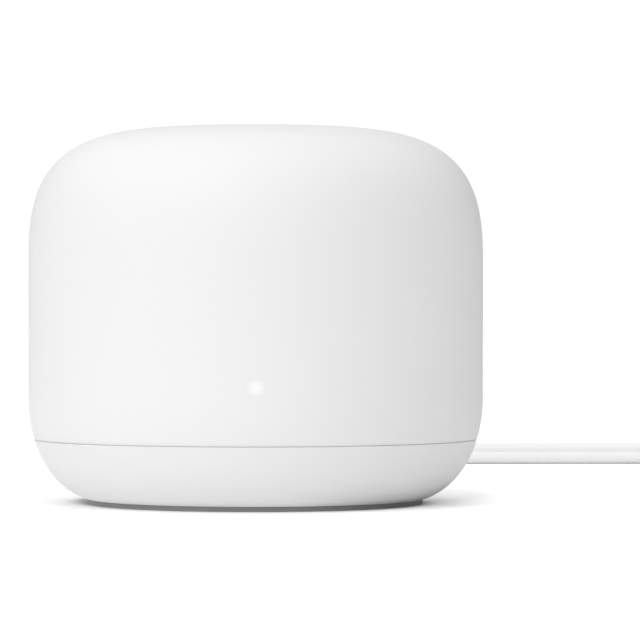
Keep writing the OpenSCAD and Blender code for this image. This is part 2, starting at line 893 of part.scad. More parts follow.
module adapter_face() {
    color("white") difference() {
        round_bar(adapter_mid, adapter_w, adapter_h, adapter_corner_r, adapter_face_t);
        for (side = [-1, 1]) blade(side, slide_fit / 2);
    }
}

// One blade, grown by play on its sides
module blade(side, play) {
    translate(adapter_mid + [side * blade_pitch / 2 - blade_w / 2 - play, -blade_l, -blade_h / 2 - play])
        cube([blade_w + 2 * play, blade_l + adapter_face_t + blade_root, blade_h + 2 * play]);
}

module adapter_blades() {
    color("silver") for (side = [-1, 1]) blade(side, 0);
}

adapter_board_z = adapter_wall + rail_h;
adapter_part_z = adapter_board_z + adapter_board_t;

module adapter_board() {
    color("tan") block(
        [adapter_mid[0], adapter_mid[1] + adapter_l / 2, adapter_board_z],
        [adapter_w - 2 * adapter_wall - 2 * slide_fit, adapter_l - 2 * adapter_board_end - 2 * adapter_face_t,
            adapter_board_t]
    );
}

module adapter_transformer() {
    size = adapter_transformer_size;
    color("gold") block(
        [adapter_mid[0] - size[0] / 2, adapter_y - adapter_part_setback - size[1] / 2, adapter_part_z], size
    );
}

module adapter_capacitor() {
    color("black") translate([
        adapter_mid[0] + adapter_capacitor_d, adapter_y - adapter_part_setback - adapter_capacitor_d, adapter_part_z
    ]) cylinder(d = adapter_capacitor_d, h = adapter_capacitor_l);
}

upper_shell();
base_shell();
foot_pad();
port_bezel();
base_screws();
shell_screws();
light_pipe();
light_shroud();
led_board();
status_led();
led_cable();
led_socket();
reset_button();
switch_plunger();
tact_switch();
main_board();
board_screws();
wan_jack();
lan_jack();
jack_contacts();
dc_jack();
dc_pin();
processor();
memory_chips();
radio_cans();
inductors();
capacitors();
line_transformers();
thermal_pads();
heat_sink();
sink_spacers();
sink_screws();
antenna_frame();
antennas();
antenna_leads();
antenna_sockets();
dc_barrel();
dc_plug();
dc_relief();
cord_lead();
cord_coil();
cord_tail();
cord_tie();
adapter_relief();
adapter_case();
adapter_face();
adapter_blades();
adapter_board();
adapter_transformer();
adapter_capacitor();
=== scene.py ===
"""Looks of the round mesh wifi node and its power lead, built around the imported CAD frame."""

import math

import bmesh
import bpy
from mathutils import Matrix, Vector


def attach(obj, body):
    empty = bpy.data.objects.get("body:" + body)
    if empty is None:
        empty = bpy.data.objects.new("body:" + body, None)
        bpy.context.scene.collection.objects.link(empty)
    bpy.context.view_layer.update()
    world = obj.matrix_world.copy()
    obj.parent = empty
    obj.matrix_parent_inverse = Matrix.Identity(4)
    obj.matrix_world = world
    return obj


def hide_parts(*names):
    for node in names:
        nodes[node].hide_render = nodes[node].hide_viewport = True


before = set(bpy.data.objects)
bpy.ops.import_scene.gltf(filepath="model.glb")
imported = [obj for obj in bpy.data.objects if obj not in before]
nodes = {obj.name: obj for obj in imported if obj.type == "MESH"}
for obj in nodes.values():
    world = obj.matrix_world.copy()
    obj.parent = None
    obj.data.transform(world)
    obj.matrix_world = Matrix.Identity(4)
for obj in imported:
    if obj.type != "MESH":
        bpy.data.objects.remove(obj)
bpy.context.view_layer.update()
MM = 0.001

# Photograph: camera a metre away, turned so that the body's axis lies left of the frame's middle
FRAME_PX = 640
SENSOR = 36
FOCAL_PX = 4125.5
AXIS_PX = (255.9, 290.2)
CAMERA_AWAY = 1.0
CAMERA_UP = 51.6 * MM

# Body, as in the part's source
BODY_R = 55 * MM
BODY_H = 91.2 * MM
WALL = 2.2 * MM
SHOULDER_Z = 57.2 * MM
SEAM_Z = 15.6 * MM
FOOT_ROUND_R = 16.6 * MM
FOOT_ROUND_H = 24.2 * MM
FOOT_PROUD = 1.2 * MM
FOOT_PAD_R = 40.4 * MM
FOOT_PAD_T = 1.8 * MM
TOP_FLATNESS = 4.2
TOP_FULLNESS = 2.94
SLIDE_FIT = 0.2 * MM
TONGUE_T = 1 * MM
TONGUE_H = 2 * MM

# Body, finer than the source: a narrower seam with rounded lips, the base's edge turned down to the pad
SEAM_GAP = 0.06 * MM
LIP_ROUND = 0.3 * MM
EDGE_DROP = 0.25 * MM
EDGE_SPAN = 2.2 * MM

# Meshes: steps of a full turn, radius that counts as on the axis, reach of a cutter past what it cuts
TURN_STEPS = 256
ON_AXIS = 1e-7
CUT_PAST = 5 * MM

# Light, reset button and port bay
LIGHT_Z = 29.2 * MM
LIGHT_HOLE_R = 1.4 * MM
LENS_T = 1.2 * MM
LENS_CROWN = 0.02 * MM
GLOW_REACH = 1.35 * MM
GLOW_STEEPNESS = 4.0
GLOW_STRENGTH = 0.1
BUTTON_Y = -20 * MM
BUTTON_HOLE_R = 3.1 * MM
BUTTON_HOLE_STEPS = 50
BAY_W = 54 * MM
BAY_Y = 32 * MM
BAY_LOW = 3.4 * MM
BAY_TOP = 14.5 * MM
BAY_WALL = 1 * MM
BAY_WALL_CORNER = 0.5 * MM
BAY_CORNER = 2.5 * MM

# Power lead: the source's route points in metres, then the cord, the coil, the tie and the adapter.
# LEAN_IN and LEAN_OUT count points of the path, and the coil's angles are in degrees
LEAD_ROUTE = [(x * MM, y * MM, z * MM) for x, y, z in (
    (18.5, 74, 9.2), (18.5, 80, 9.2), (18.5, 87, 8.7), (18.5, 94, 7.8), (18.5, 102, 6.6),
    (18.6, 110, 5.4), (18.7, 118, 4.3), (18.8, 126, 3.6), (19, 135, 3.3), (19.3, 147, 3.3),
    (19.8, 160, 3.3), (20.5, 173, 3.3), (21.8, 185, 3.3), (24.3, 196, 3.3), (28.5, 205.5, 3.3),
    (34.5, 213, 3.3), (42, 219, 3.3), (51, 223.3, 3.3), (60.5, 225, 3.3), (75, 225, 3.3),
    (91, 225, 3.3), (107, 225, 3.3), (123, 225, 3.3), (139, 225, 3.3), (155, 225, 3.3),
)]
TAIL_ROUTE = [(x * MM, y * MM, z * MM) for x, y, z in (
    (186.3, 164.4, 9.7), (182.2, 158.6, 10.4), (179.4, 153, 12), (178.1, 148, 13), (178, 143, 13),
)]
CORD_W = 6.4 * MM
CORD_T = 3.6 * MM
CORD_LEAN = 30
LEAN_IN = 90
LEAN_OUT = 15
COIL_AT = (155 * MM, 186.6 * MM)
COIL_OUT_R = 38.4 * MM
COIL_IN_R = 23.6 * MM
COIL_TURNS = 4
COIL_Z = (3.3 * MM, 9.7 * MM)
COIL_CLIMB = 103
COIL_LEAVE = -35.3
TIE_IN = 20.5 * MM
TIE_OUT = 41.5 * MM
TIE_H = 13.9 * MM
TIE_T = 0.8 * MM
TIE_W = 7 * MM
TIE_EDGE = 0.35 * TIE_T
TIE_BEND = 1.6 * MM
ADAPTER_X = 178 * MM
ADAPTER_Y = (82 * MM, 126 * MM)
ADAPTER_W = 38 * MM
ADAPTER_H = 26 * MM
ADAPTER_CORNER = 4 * MM
ADAPTER_FACE_T = 2.4 * MM
ADAPTER_SEAM = ADAPTER_Y[0] + ADAPTER_FACE_T
ADAPTER_SEAM_ROUND = 0.2 * MM
ADAPTER_FRONT_ROUND = 1.2 * MM
ADAPTER_REAR_ROUND = 3 * MM


# Meshes and objects
def make_object(name, mesh, body="node_body"):
    """Object in the scene, which rides on a body unless it is staging."""
    piece = bpy.data.objects.new(name, mesh)
    bpy.context.scene.collection.objects.link(piece)
    if body:
        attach(piece, body)
    return piece


def mesh_from(name, points, faces):
    """Smooth mesh of the given points and faces."""
    mesh = bpy.data.meshes.new(name)
    mesh.from_pydata(points, [], faces)
    mesh.validate()
    mesh.polygons.foreach_set("use_smooth", [True] * len(mesh.polygons))
    mesh.update()
    return mesh


def outward(mesh):
    """Turns the mesh's faces to the outside."""
    work = bmesh.new()
    work.from_mesh(mesh)
    bmesh.ops.recalc_face_normals(work, faces=work.faces)
    work.to_mesh(mesh)
    work.free()


def skin(name, rings, closed=False):
    """Mesh over a row of rings of points, capped at its ends unless the row closes on itself."""
    m, last = len(rings[0]), len(rings) - 1
    faces = [] if closed else [tuple(range(m)), tuple(last * m + k for k in range(m))]
    for i in range(last + 1 if closed else last):
        j = (i + 1) % (last + 1)
        for k in range(m):
            n = (k + 1) % m
            faces.append((i * m + k, i * m + n, j * m + n, j * m + k))
    mesh = mesh_from(name, [point for ring in rings for point in ring], faces)
    outward(mesh)
    return mesh


def crisp(mesh, angle):
    """Smooth faces with the edges kept that are sharper than the angle in degrees."""
    mesh.polygons.foreach_set("use_smooth", [True] * len(mesh.polygons))
    mesh.set_sharp_from_angle(angle=math.radians(angle))


# Camera
def photo_camera():
    """Camera of the photograph, in front of the body."""
    data = bpy.data.cameras.new("photo_camera")
    data.sensor_width = SENSOR
    data.lens = FOCAL_PX / FRAME_PX * SENSOR
    data.clip_start = 0.05
    data.clip_end = 50
    camera = bpy.data.objects.new("photo_camera", data)
    camera.location = (0, -CAMERA_AWAY, CAMERA_UP)
    turn_right = math.atan((FRAME_PX / 2 - AXIS_PX[0]) / FOCAL_PX)
    tilt_down = math.atan((FRAME_PX / 2 - AXIS_PX[1]) / FOCAL_PX)
    camera.rotation_euler = (math.pi / 2 - tilt_down, 0, -turn_right)
    bpy.context.scene.collection.objects.link(camera)
    bpy.context.scene.camera = camera


photo_camera()


# Power lead
def smooth_route(points, per_span=6):
    """Points on a smooth curve through the route's points."""
    route = [Vector(p) for p in points]
    ends = [2 * route[0] - route[1]] + route + [2 * route[-1] - route[-2]]
    out = []
    for a, b, c, d in zip(ends, ends[1:], ends[2:], ends[3:]):
        for k in range(per_span):
            t = k / per_span
            out.append(0.5 * (2 * b + (c - a) * t + (2 * a - 5 * b + 4 * c - d) * t ** 2
                              + (3 * b - 3 * c + d - a) * t ** 3))
    out.append(route[-1])
    return out


def eased(share):
    """Share from 0 to 1 with a soft start and end."""
    return share * share * (3 - 2 * share)


def coil_points(step=9):
    """Turns inwards on the table, a climb on the inside, then turns outwards on top of them."""
    out = []
    going_in = 360 * COIL_TURNS
    going_out = 90 - COIL_LEAVE + going_in - COIL_CLIMB
    width = COIL_OUT_R - COIL_IN_R
    last = going_in + COIL_CLIMB + going_out
    count = round(last / step)
    for k in range(1, count):
        wound = last * k / count
        if wound <= going_in:
            r, z = COIL_OUT_R - width * wound / going_in, COIL_Z[0]
        elif wound <= going_in + COIL_CLIMB:
            rise = eased((wound - going_in) / COIL_CLIMB)
            r, z = COIL_IN_R, COIL_Z[0] + (COIL_Z[1] - COIL_Z[0]) * rise
        else:
            r, z = COIL_IN_R + width * (wound - going_in - COIL_CLIMB) / going_out, COIL_Z[1]
        a = math.radians(90 - wound)
        out.append(Vector((COIL_AT[0] + r * math.cos(a), COIL_AT[1] + r * math.sin(a), z)))
    return out


def cord_lean(along, last):
    """Lean of the cord where it lies on the table; upright at the plug and at the coil."""
    share = max(0, min(1, along / LEAN_IN, (last - along) / LEAN_OUT))
    return math.radians(CORD_LEAN) * eased(share)


def twin_section(steps=10):
    """Outline of the flat twin cord: two round lobes that meet in a groove on each side."""
    lobe = CORD_T / 2
    apart = CORD_W / 2 - lobe
    groove = math.asin(apart / lobe)
    sweep = math.pi + 2 * groove
    top = [(lobe * math.cos(a), apart + lobe * math.sin(a))
           for a in (-groove + sweep * k / steps for k in range(steps))]
    return top + [(-x, -y) for x, y in top]


def power_cord():
    """Whole cord from the plug's relief through the coil to the adapter's relief, as one mesh."""
    lead = smooth_route(LEAD_ROUTE)
    path = lead + coil_points() + smooth_route(TAIL_ROUTE)
    section = twin_section()
    rings = []
    for i, at in enumerate(path):
        ahead = (path[min(i + 1, len(path) - 1)] - path[max(i - 1, 0)]).normalized()
        side = ahead.cross(Vector((0, 0, 1))).normalized()
        up = side.cross(ahead)
        lean = cord_lean(i, len(lead))
        over, back = math.cos(lean), math.sin(lean)
        low = at - Vector((0, 0, (CORD_W - CORD_T) / 2 * (1 - over)))
        rings.append([low + side * (x * over - y * back) + up * (x * back + y * over)
                      for x, y in section])
    mesh = skin("power_cord", rings)
    crisp(mesh, 60)
    cord = make_object("power_cord", mesh)
    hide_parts("cord_lead", "cord_coil", "cord_tail")
    return cord


# Turned and lofted shapes
def resample(line, count):
    """The same line with its points evenly spaced."""
    run = [0.0]
    for a, b in zip(line, line[1:]):
        run.append(run[-1] + math.dist(a, b))
    out, i = [], 0
    for k in range(count):
        want = run[-1] * k / (count - 1)
        while i < len(run) - 2 and run[i + 1] < want:
            i += 1
        span = run[i + 1] - run[i]
        t = (want - run[i]) / span if span else 0
        out.append((line[i][0] + (line[i + 1][0] - line[i][0]) * t,
                    line[i][1] + (line[i + 1][1] - line[i][1]) * t))
    return out


def turned(name, loop, steps=TURN_STEPS):
    """Closed mesh turned about Z from a closed loop of (radius, height) points."""
    turns = [2 * math.pi * k / steps for k in range(steps)]
    points, rings = [], []
    for r, z in loop:
        if r < ON_AXIS:
            rings.append([len(points)] * steps)
            points.append((0, 0, z))
        else:
            rings.append([len(points) + k for k in range(steps)])
            points += [(r * math.cos(a), r * math.sin(a), z) for a in turns]
    faces = []
    for a, b in zip(rings, rings[1:] + rings[:1]):
        for k in range(steps):
            n = (k + 1) % steps
            face = list(dict.fromkeys((a[k], a[n], b[n], b[k])))
            if len(face) > 2:
                faces.append(face)
    mesh = mesh_from(name, points, faces)
    outward(mesh)
    return mesh


def top_line(inset, count, steps=1200):
    """Line from the middle of the top to the shoulder."""
    r_end, h = BODY_R - inset, BODY_H - inset - SHOULDER_Z
    fine = [(0.0, BODY_H - inset)]
    for k in range(1, steps + 1):
        a = math.pi / 2 * (1 - k / steps)
        fine.append((r_end * math.cos(a) ** (2 / TOP_FLATNESS),
                     SHOULDER_Z + h * math.sin(a) ** (2 / TOP_FULLNESS)))
    return resample(fine, count)


def foot_radius(z, inset=0.0):
    """Radius of the body at a height below the shoulder."""
    low = FOOT_PROUD + inset
    if z >= low + FOOT_ROUND_H:
        return BODY_R - inset
    drop = 1 - (z - low) / FOOT_ROUND_H
    return BODY_R - inset - FOOT_ROUND_R * (1 - math.sqrt(max(0.0, 1 - drop * drop)))


def side_line(z_from, z_to, inset, count, steps=400):
    """Line along the side of the body from one height to another, neither above the shoulder."""
    heights = [z_from + (z_to - z_from) * k / steps for k in range(steps + 1)]
    return resample([(foot_radius(z, inset), z) for z in heights], count)


def lip(r_out, r_in, z, up, steps=6):
    """Edge of a shell at the seam, rounded outside; up is 1 for the upper shell, -1 for the base."""
    e = LIP_ROUND
    edge = []
    for k in range(steps + 1):
        a = math.pi / 2 * k / steps
        edge.append((r_out - e + e * math.cos(a), z + up * (e - e * math.sin(a))))
    return edge + [(r_in + e, z)]


def cut(target, tool, how):
    """Adds or takes away another mesh, which isn't kept."""
    other = bpy.data.objects.new("tool", tool)
    bpy.context.scene.collection.objects.link(other)
    change = target.modifiers.new(how, "BOOLEAN")
    change.operation = how
    change.object = other
    change.solver = "EXACT"
    graph = bpy.context.evaluated_depsgraph_get()
    made = bpy.data.meshes.new_from_object(target.evaluated_get(graph))
    target.modifiers.clear()
    target.data = made
    bpy.data.objects.remove(other)


def soft_corners(w, h, r, steps=8):
    """Outline of a rectangle with round corners, about its middle."""
    out = []
    for sx, sy, start in ((1, 1, 0), (-1, 1, 90), (-1, -1, 180), (1, -1, 270)):
        for k in range(steps + 1):
            a = math.radians(start + 90 * k / steps)
            out.append((sx * (w / 2 - r) + r * math.cos(a), sy * (h / 2 - r) + r * math.sin(a)))
    return out


def bar_y(name, at, w, h, r, y_from, y_to, round_from=0.0, round_to=0.0, steps=6):
    """Bar along Y about a middle in X and Z, with soft corners and, where asked, rounded end edges."""
    least_corner = 0.2 * r
    turns = [math.pi / 2 * k / steps for k in range(steps + 1)]
    stations = [(y_from + round_from * (1 - math.sin(a)), round_from * (1 - math.cos(a)))
                for a in reversed(turns if round_from else [0])]
    stations += [(y_to - round_to * (1 - math.sin(a)), round_to * (1 - math.cos(a)))
                 for a in (turns if round_to else [0])]
    return skin(name, [[(at[0] + x, y, at[1] + z) for x, z in
                        soft_corners(w - 2 * inset, h - 2 * inset, max(r - inset, least_corner))]
                       for y, inset in stations])


# Shells
def upper_shell():
    """Upper shell, hollow and open at the seam."""
    z = SEAM_Z + SEAM_GAP / 2
    loop = top_line(0, 110) + side_line(SHOULDER_Z, z + LIP_ROUND, 0, 60)[1:]
    loop += lip(foot_radius(z), foot_radius(z, WALL), z, 1)[1:]
    loop += side_line(z + LIP_ROUND, SHOULDER_Z, WALL, 30)
    loop += list(reversed(top_line(WALL, 50)))[1:]
    mesh = turned("upper_cover", loop)
    crisp(mesh, 50)
    cover = make_object("upper_cover", mesh)
    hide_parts("upper_shell")
    return cover


def base_shell():
    """Lower shell with the pad's recess, the port bay, the button's hole and the tongue."""
    z = SEAM_Z - SEAM_GAP / 2
    recess = FOOT_PAD_R + SLIDE_FIT
    reach = 1 - (BODY_R - recess) / FOOT_ROUND_R
    edge_z = FOOT_PROUD + FOOT_ROUND_H * (1 - math.sqrt(1 - reach * reach))
    loop = [(0.0, FOOT_PAD_T), (recess, FOOT_PAD_T)]
    loop += [(r, h - EDGE_DROP * max(0, 1 - (h - edge_z) / EDGE_SPAN) ** 2)
             for r, h in side_line(edge_z, z - LIP_ROUND, 0, 40)]
    loop += lip(foot_radius(z), foot_radius(z, WALL), z, -1)[1:]
    loop += side_line(z - LIP_ROUND, FOOT_PROUD + WALL, WALL, 30)
    loop += [(0.0, FOOT_PROUD + WALL)]
    base = make_object("base_cover", turned("base_cover", loop))
    # Walls of the port bay, trimmed to the base's skin, then the bay itself
    inset = WALL / 2
    low, high = FOOT_PROUD + inset, z + CUT_PAST
    core = [(0.0, low)] + side_line(low, high, inset, 30) + [(0.0, high)]
    walls = bpy.data.objects.new("bay_walls", turned("bay_walls", core))
    bpy.context.scene.collection.objects.link(walls)
    walls_top = BAY_TOP + BAY_WALL
    block = bar_y("bay_block", (0, (FOOT_PROUD + walls_top) / 2), BAY_W + 2 * BAY_WALL,
                  walls_top - FOOT_PROUD, BAY_WALL_CORNER, BAY_Y, BODY_R + CUT_PAST)
    cut(walls, block, "INTERSECT")
    cut(base, walls.data.copy(), "UNION")
    bpy.data.objects.remove(walls)
    bay = bar_y("bay", (0, (BAY_LOW + BAY_TOP) / 2), BAY_W, BAY_TOP - BAY_LOW, BAY_CORNER,
                BAY_Y - BAY_WALL, BODY_R + CUT_PAST)
    cut(base, bay, "DIFFERENCE")
    # Hole of the reset button
    hole = turned("button_hole", [(0.0, -CUT_PAST), (BUTTON_HOLE_R, -CUT_PAST),
                                  (BUTTON_HOLE_R, CUT_PAST), (0.0, CUT_PAST)], BUTTON_HOLE_STEPS)
    hole.transform(Matrix.Translation((0, BUTTON_Y, 0)))
    cut(base, hole, "DIFFERENCE")
    # Tongue behind the seam
    low, high = SEAM_Z - TONGUE_H, SEAM_Z + TONGUE_H
    outer = side_line(low, high, WALL + SLIDE_FIT, 8)
    inner = side_line(high, low, WALL + SLIDE_FIT + TONGUE_T, 8)
    cut(base, turned("tongue", outer + inner), "UNION")
    crisp(base.data, 40)
    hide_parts("base_shell")
    return base


def light_window():
    """Lens of the status light: its face follows the body's round, a little proud inside its rim."""
    rings, spokes = 10, 48
    points, faces = [(0, -BODY_R - LENS_CROWN, LIGHT_Z)], []
    for i in range(1, rings + 1):
        r = LIGHT_HOLE_R * i / rings
        proud = LENS_CROWN if i < rings else -LENS_CROWN
        for k in range(spokes):
            a = 2 * math.pi * k / spokes
            x = r * math.cos(a)
            points.append((x, -math.sqrt(BODY_R ** 2 - x * x) - proud, LIGHT_Z + r * math.sin(a)))
    back = len(points)
    points += [(x, y + LENS_T, z) for x, y, z in points[-spokes:]]
    for k in range(spokes):
        n = (k + 1) % spokes
        faces.append((0, 1 + k, 1 + n))
        for i in range(rings - 1):
            a, b = 1 + i * spokes, 1 + (i + 1) * spokes
            faces.append((a + k, b + k, b + n, a + n))
        rim = 1 + (rings - 1) * spokes
        faces.append((rim + k, back + k, back + n, rim + n))
    faces.append(tuple(reversed(range(back, back + spokes))))
    mesh = mesh_from("light_window", points, faces)
    outward(mesh)
    crisp(mesh, 50)
    lens = make_object("light_window", mesh)
    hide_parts("light_pipe")
    return lens


cover = upper_shell()
base = base_shell()
lens = light_window()


# Wall adapter and cord tie
def adapter_half(name, node, y_from, y_to, round_from, round_to):
    """One of the two mouldings of the wall adapter."""
    at = (ADAPTER_X, ADAPTER_H / 2)
    mesh = bar_y(name, at, ADAPTER_W, ADAPTER_H, ADAPTER_CORNER, y_from, y_to, round_from, round_to)
    crisp(mesh, 50)
    half = make_object(name, mesh)
    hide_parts(node)
    return half


def tie_strap():
    """Soft strap closed around the coil."""
    loop = soft_corners(TIE_OUT - TIE_IN - TIE_T, TIE_H - TIE_T, TIE_BEND)
    section = soft_corners(TIE_T, TIE_W, TIE_EDGE, 2)
    middle = (COIL_AT[1] - (TIE_OUT + TIE_IN) / 2, TIE_H / 2)
    rings = []
    for i, (y, z) in enumerate(loop):
        ahead = Vector(loop[(i + 1) % len(loop)]) - Vector(loop[i - 1])
        out = Vector((ahead[1], -ahead[0])).normalized()
        rings.append([(COIL_AT[0] + b, middle[0] + y + out[0] * a, middle[1] + z + out[1] * a)
                      for a, b in section])
    strap = make_object("tie_strap", skin("tie_strap", rings, closed=True))
    crisp(strap.data, 50)
    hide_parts("cord_tie")
    return strap


case = adapter_half("adapter_cover", "adapter_case", ADAPTER_SEAM, ADAPTER_Y[1],
                    ADAPTER_SEAM_ROUND, ADAPTER_REAR_ROUND)
face = adapter_half("adapter_front", "adapter_face", ADAPTER_Y[0], ADAPTER_SEAM,
                    ADAPTER_FRONT_ROUND, ADAPTER_SEAM_ROUND)
strap = tie_strap()
cord = power_cord()


# Shader node groups
def add(tree, kind, sockets=None, **settings):
    """New shader node with its settings and the values of its sockets."""
    made = tree.nodes.new(kind)
    for key, value in settings.items():
        setattr(made, key, value)
    for key, value in (sockets or {}).items():
        made.inputs[key].default_value = value
    return made


def group(name, inputs, outputs):
    """Empty node group with its input and output nodes."""
    tree = bpy.data.node_groups.new(name, "ShaderNodeTree")
    for label, kind, value in inputs:
        socket = tree.interface.new_socket(label, in_out="INPUT", socket_type=kind)
        socket.default_value = value
    for label, kind in outputs:
        tree.interface.new_socket(label, in_out="OUTPUT", socket_type=kind)
    return tree, tree.nodes.new("NodeGroupInput"), tree.nodes.new("NodeGroupOutput")


FLOAT, COLOR = "NodeSocketFloat", "NodeSocketColor"


def moulded_grain_group():
    """Spark-eroded mould texture: fine pits, and slow drifts in tone and gloss."""
    tree, given, out = group("moulded_grain", [
        ("Color", COLOR, (0.8, 0.8, 0.8, 1)), ("Drift", FLOAT, 0.02), ("Roughness", FLOAT, 0.5),
        ("Gloss Drift", FLOAT, 0.05), ("Pits Per Metre", FLOAT, 6000)],
        [("Color", COLOR), ("Roughness", FLOAT), ("Height", FLOAT)])
    link = tree.links.new
    place = add(tree, "ShaderNodeTexCoord")
    pits = add(tree, "ShaderNodeTexNoise", {"Detail": 3.0, "Roughness": 0.6})
    slow = add(tree, "ShaderNodeTexNoise", {"Scale": 45.0, "Detail": 2.0})
    link(place.outputs["Object"], pits.inputs["Vector"])
    link(place.outputs["Object"], slow.inputs["Vector"])
    link(given.outputs["Pits Per Metre"], pits.inputs["Scale"])
    centred = add(tree, "ShaderNodeMath", {1: 0.5}, operation="SUBTRACT")
    link(slow.outputs["Fac"], centred.inputs[0])
    tone = add(tree, "ShaderNodeMath", {2: 1.0}, operation="MULTIPLY_ADD")
    link(centred.outputs[0], tone.inputs[0])
    link(given.outputs["Drift"], tone.inputs[1])
    tinted = add(tree, "ShaderNodeVectorMath", operation="SCALE")
    link(given.outputs["Color"], tinted.inputs[0])
    link(tone.outputs[0], tinted.inputs["Scale"])
    link(tinted.outputs[0], out.inputs["Color"])
    gloss = add(tree, "ShaderNodeMath", operation="MULTIPLY_ADD")
    link(centred.outputs[0], gloss.inputs[0])
    link(given.outputs["Gloss Drift"], gloss.inputs[1])
    link(given.outputs["Roughness"], gloss.inputs[2])
    link(gloss.outputs[0], out.inputs["Roughness"])
    link(pits.outputs["Fac"], out.inputs["Height"])
    return tree


def drawn_metal_group():
    """Fine lines left by rolling or drawing, along one axis."""
    tree, given, out = group("drawn_metal", [
        ("Color", COLOR, (0.7, 0.7, 0.7, 1)), ("Roughness", FLOAT, 0.3), ("Lines", FLOAT, 3000)],
        [("Color", COLOR), ("Roughness", FLOAT), ("Height", FLOAT)])
    link = tree.links.new
    place = add(tree, "ShaderNodeTexCoord")
    stretch = add(tree, "ShaderNodeMapping", {"Scale": (1, 1, 0.04)})
    link(place.outputs["Object"], stretch.inputs["Vector"])
    lines = add(tree, "ShaderNodeTexNoise", {"Detail": 2.0})
    link(stretch.outputs[0], lines.inputs["Vector"])
    link(given.outputs["Lines"], lines.inputs["Scale"])
    tone = add(tree, "ShaderNodeMapRange", {"To Min": 0.85, "To Max": 1.1})
    link(lines.outputs["Fac"], tone.inputs["Value"])
    tinted = add(tree, "ShaderNodeVectorMath", operation="SCALE")
    link(given.outputs["Color"], tinted.inputs[0])
    link(tone.outputs[0], tinted.inputs["Scale"])
    link(tinted.outputs[0], out.inputs["Color"])
    rough = add(tree, "ShaderNodeMath", operation="MULTIPLY")
    link(tone.outputs[0], rough.inputs[0])
    link(given.outputs["Roughness"], rough.inputs[1])
    link(rough.outputs[0], out.inputs["Roughness"])
    link(lines.outputs["Fac"], out.inputs["Height"])
    return tree


def glow_group():
    """Soft round glow of the status light on the front of the body."""
    tree, _, out = group("status_glow", [], [("Glow", COLOR)])
    link = tree.links.new
    place = add(tree, "ShaderNodeTexCoord")
    away = add(tree, "ShaderNodeVectorMath", {1: (0, -BODY_R, LIGHT_Z)}, operation="DISTANCE")
    link(place.outputs["Object"], away.inputs[0])
    share = add(tree, "ShaderNodeMath", {1: GLOW_REACH}, operation="DIVIDE")
    link(away.outputs["Value"], share.inputs[0])
    steep = add(tree, "ShaderNodeMath", {1: GLOW_STEEPNESS}, operation="POWER")
    link(share.outputs[0], steep.inputs[0])
    half = add(tree, "ShaderNodeMath", {1: -0.5}, operation="MULTIPLY")
    link(steep.outputs[0], half.inputs[0])
    bell = add(tree, "ShaderNodeMath", operation="EXPONENT")
    link(half.outputs[0], bell.inputs[0])
    link(bell.outputs[0], out.inputs["Glow"])
    return tree


GRAIN = moulded_grain_group()
DRAWN = drawn_metal_group()
GLOW = glow_group()


def surface(name, effect, inputs, bump, metallic=0.0):
    """Principled material whose colour, roughness and bump come from one of the groups."""
    made = bpy.data.materials.new(name)
    made.use_nodes = True
    tree = made.node_tree
    shader = tree.nodes["Principled BSDF"]
    shader.inputs["Metallic"].default_value = metallic
    look = add(tree, "ShaderNodeGroup", inputs, node_tree=effect)
    relief = add(tree, "ShaderNodeBump", {"Strength": bump[0], "Distance": bump[1]})
    tree.links.new(look.outputs["Color"], shader.inputs["Base Color"])
    tree.links.new(look.outputs["Roughness"], shader.inputs["Roughness"])
    tree.links.new(look.outputs["Height"], relief.inputs["Height"])
    tree.links.new(relief.outputs["Normal"], shader.inputs["Normal"])
    return made


def plastic(name, color, rough, pits=6000, drift=0.02, bump=(0.12, 0.00004)):
    inputs = {"Color": (*color, 1), "Roughness": rough, "Pits Per Metre": pits, "Drift": drift}
    return surface(name, GRAIN, inputs, bump)


def metal(name, color, rough, lines=3000, bump=(0.1, 0.00003)):
    inputs = {"Color": (*color, 1), "Roughness": rough, "Lines": lines}
    return surface(name, DRAWN, inputs, bump, metallic=1.0)


def with_glow(made):
    """Adds the status light's glow to a material."""
    tree = made.node_tree
    shader = tree.nodes["Principled BSDF"]
    halo = add(tree, "ShaderNodeGroup", node_tree=GLOW)
    tree.links.new(halo.outputs["Glow"], shader.inputs["Emission Color"])
    shader.inputs["Emission Strength"].default_value = GLOW_STRENGTH
    return made


SHELL_WHITE = (0.83, 0.83, 0.832)
shell_white = with_glow(plastic("shell_white", SHELL_WHITE, 0.5, pits=5200, drift=0.012))
lens_milk = with_glow(plastic("lens_milk", SHELL_WHITE, 0.35, drift=0.0))
base_white = plastic("base_white", (0.82, 0.82, 0.822), 0.5, pits=5200, drift=0.012)
cord_white = plastic("cord_white", (0.84, 0.84, 0.84), 0.45, pits=2600, bump=(0.05, 0.00002))
adapter_white = plastic("adapter_white", (0.82, 0.82, 0.822), 0.48, pits=4200)
# Grey silicone pad, its tone set dark to stand in for the shade in the gap under the body: partly
# painted shade
silicone_painted_shade = plastic("silicone_painted_shade", (0.24, 0.24, 0.242), 0.5, pits=3000, drift=0.06,
                        bump=(0.3, 0.0001))
bezel_grey = plastic("bezel_grey", (0.4, 0.4, 0.405), 0.6, pits=4000)
button_grey = plastic("button_grey", (0.48, 0.48, 0.485), 0.5)
dark_moulding = plastic("dark_moulding", (0.035, 0.035, 0.037), 0.5)
chip_black = plastic("chip_black", (0.02, 0.02, 0.022), 0.6, pits=9000)
ferrite_grey = plastic("ferrite_grey", (0.12, 0.12, 0.125), 0.65)
tie_grey = plastic("tie_grey", (0.3, 0.3, 0.31), 0.7, pits=2400, bump=(0.4, 0.0001))
connector_ivory = plastic("connector_ivory", (0.75, 0.7, 0.58), 0.5)
led_cream = plastic("led_cream", (0.9, 0.85, 0.6), 0.3)
thermal_pink = plastic("thermal_pink", (0.65, 0.35, 0.38), 0.9, pits=1800, drift=0.1)
frame_white = plastic("frame_white", (0.72, 0.72, 0.72), 0.55)
lead_black = plastic("lead_black", (0.02, 0.02, 0.02), 0.5)
